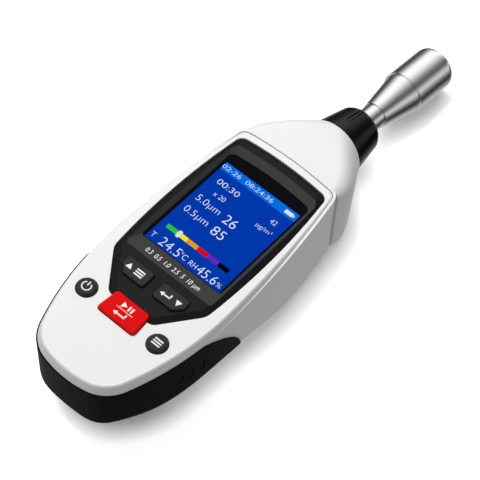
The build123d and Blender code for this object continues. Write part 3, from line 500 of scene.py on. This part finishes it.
# %% Finishes of the rigid pieces
FINISHES = {
    white: ["front_cover", "front_shell", "rear_shell", "battery_cover"],
    black: ["nose_collar"],
    rubber: ["bumper"],
    bezel_finish: ["bezel"],
    key_grey: ["up_key", "down_key", "power_key", "memory_key"],
    key_red: ["start_key"],
    window: ["display_window"],
    LIT["blue"]: ["display_panel"],
    dull_black: ["display_frame", "sensor_chamber", "fan_housing", "fan_rotor",
                 "humidity_sensor", "probe_seal"],
    silicone: ["keypad_mat"],
    board: ["main_board", "detector_board"],
    plated: ["board_screws", "housing_screws", "cover_screw", "usb_socket"],
    steel: ["sampling_probe"],
    brass: ["laser_module", "tripod_bush"],
    tube: ["inlet_tube"],
    cell: ["battery"],
}
dressed = 0
for finish, names in FINISHES.items():
    for name in names:
        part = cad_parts[name]
        part.data.materials.clear()
        part.data.materials.append(finish)
        dressed += 1
print("nodes with a finish:", dressed, "of", len(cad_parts))


# %% [markdown]
# Signs and figures are flat shapes on a surface. A flat shape starts as a few bmesh operators in
# its own plane, in millimetres. A grid with one cell makes a bar, a circle with few corners makes
# an arrow head, and a short edge that is spun makes an arc.

# %% Flat shapes
def turn_and_move(made, angle, x, y):
    """Turns a flat shape about its middle and then moves it."""
    bmesh.ops.rotate(made, matrix=Matrix.Rotation(angle, 3, "Z"), verts=made.verts)
    bmesh.ops.translate(made, vec=(x, y, 0), verts=made.verts)
    return made


def bar(width, height, x=0.0, y=0.0):
    """A rectangle."""
    made = bmesh.new()
    bmesh.ops.create_grid(made, x_segments=1, y_segments=1, size=0.5)
    bmesh.ops.scale(made, vec=(width, height, 1), verts=made.verts)
    return turn_and_move(made, 0.0, x, y)


def arrow_head(radius, x=0.0, y=0.0, turn=0.0):
    """A triangle that points up before its turn."""
    made = bmesh.new()
    bmesh.ops.create_circle(made, cap_ends=True, segments=3, radius=radius)
    return turn_and_move(made, turn, x, y)


def arc_band(radius, width, start, sweep, steps=24):
    """A band along an arc, spun from one short edge."""
    made = bmesh.new()
    inner = made.verts.new((radius - width / 2, 0, 0))
    outer = made.verts.new((radius + width / 2, 0, 0))
    edge = made.edges.new((inner, outer))
    turn_and_move(made, start, 0, 0)
    bmesh.ops.spin(made, geom=[inner, outer, edge], axis=(0, 0, 1), cent=(0, 0, 0), angle=sweep,
                   steps=steps)
    return made


print("flat shapes:", bar.__name__, arrow_head.__name__, arc_band.__name__)

# %% [markdown]
# Figures come from a text curve, which is turned into a mesh before anything is moved. A font's
# digits fill only a part of its size, so the height of a digit sets the size. A width, where it is
# given, squeezes the figures into the room that they have.

# %% Figures
DIGIT_SHARE = 0.7


def figures(text, height, x=0.0, y=0.0, width=None, weight=0.0):
    """Plain figures with their middle at a place; height is that of a digit."""
    letters = bpy.data.curves.new("figures", "FONT")
    letters.body = text
    letters.size = height / DIGIT_SHARE
    letters.align_x, letters.align_y = "CENTER", "CENTER"
    letters.offset = weight
    carrier = bpy.data.objects.new("figures", letters)
    bpy.context.scene.collection.objects.link(carrier)
    bpy.context.view_layer.update()
    mesh = carrier.to_mesh()
    made = bmesh.new()
    made.from_mesh(mesh)
    carrier.to_mesh_clear()
    bpy.data.objects.remove(carrier)
    xs = [vert.co.x for vert in made.verts]
    ys = [vert.co.y for vert in made.verts]
    middle = ((min(xs) + max(xs)) / 2, (min(ys) + max(ys)) / 2)
    bmesh.ops.translate(made, vec=(-middle[0], -middle[1], 0), verts=made.verts)
    if width:
        bmesh.ops.scale(made, vec=(width / (max(xs) - min(xs)), 1, 1), verts=made.verts)
    bmesh.ops.translate(made, vec=(x, y, 0), verts=made.verts)
    return made


print("share of a font's size that a digit fills:", DIGIT_SHARE)

# %% [markdown]
# Placing flat shapes scales them to metres, moves them to their spot and leaves the object itself
# at the origin, so that the piece can follow the body that it sits on.


# %% Placing flat shapes
def place_flat(name, groups, origin, level, body, slot):
    """Joins flat shapes into one piece: groups holds (finish, [shapes]) pairs."""
    joined = bmesh.new()
    for index, (finish, shapes) in enumerate(groups):
        for shape in shapes:
            for face in shape.faces:
                face.material_index = index
                if face.normal.z < 0:
                    face.normal_flip()
            flat = bpy.data.meshes.new("flat")
            shape.to_mesh(flat)
            shape.free()
            joined.from_mesh(flat)
            bpy.data.meshes.remove(flat)
    bmesh.ops.scale(joined, vec=(MM, MM, MM), verts=joined.verts)
    bmesh.ops.translate(joined, vec=(origin.x, origin.y, level), verts=joined.verts)
    made = new_object(name, joined, [finish for finish, shapes in groups])
    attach(made, body)
    print(name, "faces:", len(made.data.polygons))
    return made


print("helper:", place_flat.__name__)

# %% [markdown]
# The picture on the display has a status row, two readings with their channel, a small value with
# its unit, a colour scale with a pointer, and the air's temperature and humidity at the foot. All
# of it is plain figures and units in the places where such an instrument shows them.

# %% Picture: bands and colour scale
SHEET_GAP = 0.02 * MM
STATUS_HEIGHT = 3.3
STATUS_Y = PICTURE_HALF_HEIGHT / MM - STATUS_HEIGHT / 2
SCALE_Y = -11.75
SCALE_HEIGHT = 1.7
SCALE_STOPS = [("green", -13.4, -9.2), ("yellow", -9.2, -4.8), ("orange", -4.8, -0.4),
               ("red", -0.4, 4.0), ("violet", 4.0, 8.4), ("black", 8.4, 12.8)]
bands = [(LIT["band"], [bar(2 * PICTURE_HALF_WIDTH / MM, STATUS_HEIGHT, 0, STATUS_Y)])]
for colour, start, end in SCALE_STOPS:
    bands.append((LIT[colour], [bar(end - start, SCALE_HEIGHT, (start + end) / 2, SCALE_Y)]))
place_flat("display_bands", bands, screen, screen.z + SHEET_GAP, "housing", "panel")
print("colour fields:", len(bands))

# %% [markdown]
# The figures are a table: what each says, how high its digits are, where its middle is, how wide
# it is and how much thinner or bolder than the font. A pointer on the scale and a small battery in
# the status row are plain bars.

# %% Picture: figures
CHANNEL_X = -9.0
VALUE_X = 0.7
FOOT_Y = -17.2
THIN = -0.025
THINNER = 2 * THIN
READINGS = [
    ("02-26  08:24:36", 1.7, -5.2, STATUS_Y, 21.5, THIN),
    ("00:30", 2.2, -8.6, 12.4, 9.0, THIN),
    ("42", 2.0, 11.0, 12.1, 2.4, THIN),
    ("x 20", 1.9, -8.4, 7.8, 4.6, THIN),
    ("µg/m³", 1.7, 10.4, 7.8, 6.2, THIN),
    ("5.0µm", 2.7, CHANNEL_X, 2.9, 9.8, THINNER),
    ("26", 3.7, VALUE_X, 2.8, 4.9, THINNER),
    ("0.5µm", 2.7, CHANNEL_X, -2.9, 9.8, THINNER),
    ("85", 3.7, VALUE_X, -3.0, 4.9, THINNER),
    ("T", 2.0, -14.3, FOOT_Y, None, THIN),
    ("24.5", 3.5, -7.0, FOOT_Y, 8.2, THINNER),
    ("°C", 2.2, -1.5, FOOT_Y + 0.2, 2.7, THIN),
    ("RH", 2.0, 2.7, FOOT_Y - 0.1, 3.0, THIN),
    ("45.6", 3.5, 8.6, FOOT_Y, 7.6, THINNER),
    ("%", 1.8, 13.8, FOOT_Y - 0.4, 1.9, THIN),
]
POINTER = (1.2, SCALE_HEIGHT + 1.1, -8.3, SCALE_Y)
BATTERY_BODY = (3.3, 1.5, 12.3, STATUS_Y)
BATTERY_TIP = (0.5, 0.8, 14.3, STATUS_Y)
readings = [figures(*reading) for reading in READINGS]
readings += [bar(*shape) for shape in (POINTER, BATTERY_BODY, BATTERY_TIP)]
place_flat("display_figures", [(LIT["white"], readings)], screen, screen.z + 2 * SHEET_GAP,
           "housing", "panel")
print("shapes on the display:", len(readings))


# %% [markdown]
# The signs on the keys are white print. Each rides on its own key, so it sinks with the key when
# that is pressed. The print is a very thin layer just above the key's top.

# %% Print on the keys
PRINT_GAP = 0.03 * MM
RIGHT = math.radians(-90)
LEFT = math.radians(90)
DOWN = math.radians(180)
STROKE = 0.5
ROW_PITCH = 0.95
SHAFT_SHIFT = 0.4
HOOK_HEIGHT = 1.4
HOOK_HEAD = 0.95
print_white = moulded("print_white", grey(0.85), 0.5, bump=0.02)


def key_print(key, shapes):
    """White signs in the middle of a key's top."""
    middle, level = box_middle(key)
    place_flat(key + "_sign", [(print_white, shapes)], middle, level + PRINT_GAP, key,
               "white_plastic")


def rows(width, x=0.0):
    """Three level strokes, the usual sign for a list."""
    return [bar(width, STROKE, x, y) for y in (ROW_PITCH, 0.0, -ROW_PITCH)]


def hooked_arrow(length, x, y):
    """An arrow that points left from a hook, the usual sign for going back or entering."""
    shaft = x + SHAFT_SHIFT
    return [bar(length, STROKE, shaft, y),
            bar(STROKE, HOOK_HEIGHT, shaft + (length - STROKE) / 2, y + HOOK_HEIGHT / 2),
            arrow_head(HOOK_HEAD, x - length / 2, y, LEFT)]


print("height of the print above a key, mm:", PRINT_GAP / MM)

# %% [markdown]
# The upper pair of keys moves up and down in a list, and also opens the list and goes back. The red
# key starts, pauses and enters, the round ones switch the power and open the memory.

# %% Signs
KEY_HEAD = 1.35
LIST_WIDTH = 3.3
PLAY_Y = 1.6
POWER_STROKE = 0.4
POWER_GAP = 70
play_and_pause = [arrow_head(1.25, -1.5, PLAY_Y, RIGHT)]
play_and_pause += [bar(0.6, 1.9, x, PLAY_Y) for x in (0.7, 1.9)]
divider = bar(6.6, 0.2)
power_ring = arc_band(1.55, POWER_STROKE, math.radians(90 + POWER_GAP / 2),
                      math.radians(360 - POWER_GAP))
KEY_SIGNS = {
    "up_key": [arrow_head(KEY_HEAD, -2.7, -0.1)] + rows(LIST_WIDTH, 1.5),
    "down_key": [arrow_head(KEY_HEAD, 2.8, 0.2, DOWN)] + hooked_arrow(2.8, -1.9, -0.4),
    "start_key": play_and_pause + [divider] + hooked_arrow(3.4, -0.2, -2.0),
    "power_key": [power_ring, bar(POWER_STROKE, 1.7, 0, 1.1)],
    "memory_key": rows(LIST_WIDTH),
}
for key, shapes in KEY_SIGNS.items():
    key_print(key, shapes)
print("signs on keys:", len(KEY_SIGNS))

# %% [markdown]
# Below the display the bezel carries one printed line. Here it lists the sizes of the counting
# channels in micrometres, as plain numbers. The facet that it is printed on slopes, so the line is
# tilted to lie along it, a hair above the surface.

# %% Channel sizes on the bezel
LINE_Y = -23.9
LINE_HEIGHT = 2.1
LINE_WIDTH = 22.5
LINE_WEIGHT = 0.01
FACET_START_Y = -20.3
FACET_RISE = 1.55
FACET_RUN = 5.9
ABOVE_WINDOW = 0.25 * MM
line = [figures("0.3  0.5  1.0  2.5  5  10 µm", LINE_HEIGHT, width=LINE_WIDTH, weight=LINE_WEIGHT)]
channel_line = place_flat("channel_line", [(print_white, line)], Vector((0, 0, 0)), 0, "housing",
                          "white_plastic")
tilt = Matrix.Rotation(-math.atan(FACET_RISE / FACET_RUN), 4, "X")
facet_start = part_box("display_window")[1].z + ABOVE_WINDOW
rise = (FACET_START_Y - LINE_Y) / FACET_RUN * FACET_RISE * MM
spot = Matrix.Translation((0, screen.y + LINE_Y * MM, facet_start + rise + PRINT_GAP))
channel_line.data.transform(spot @ tilt)
print("channel line at, mm:", round(screen.y / MM + LINE_Y, 1))
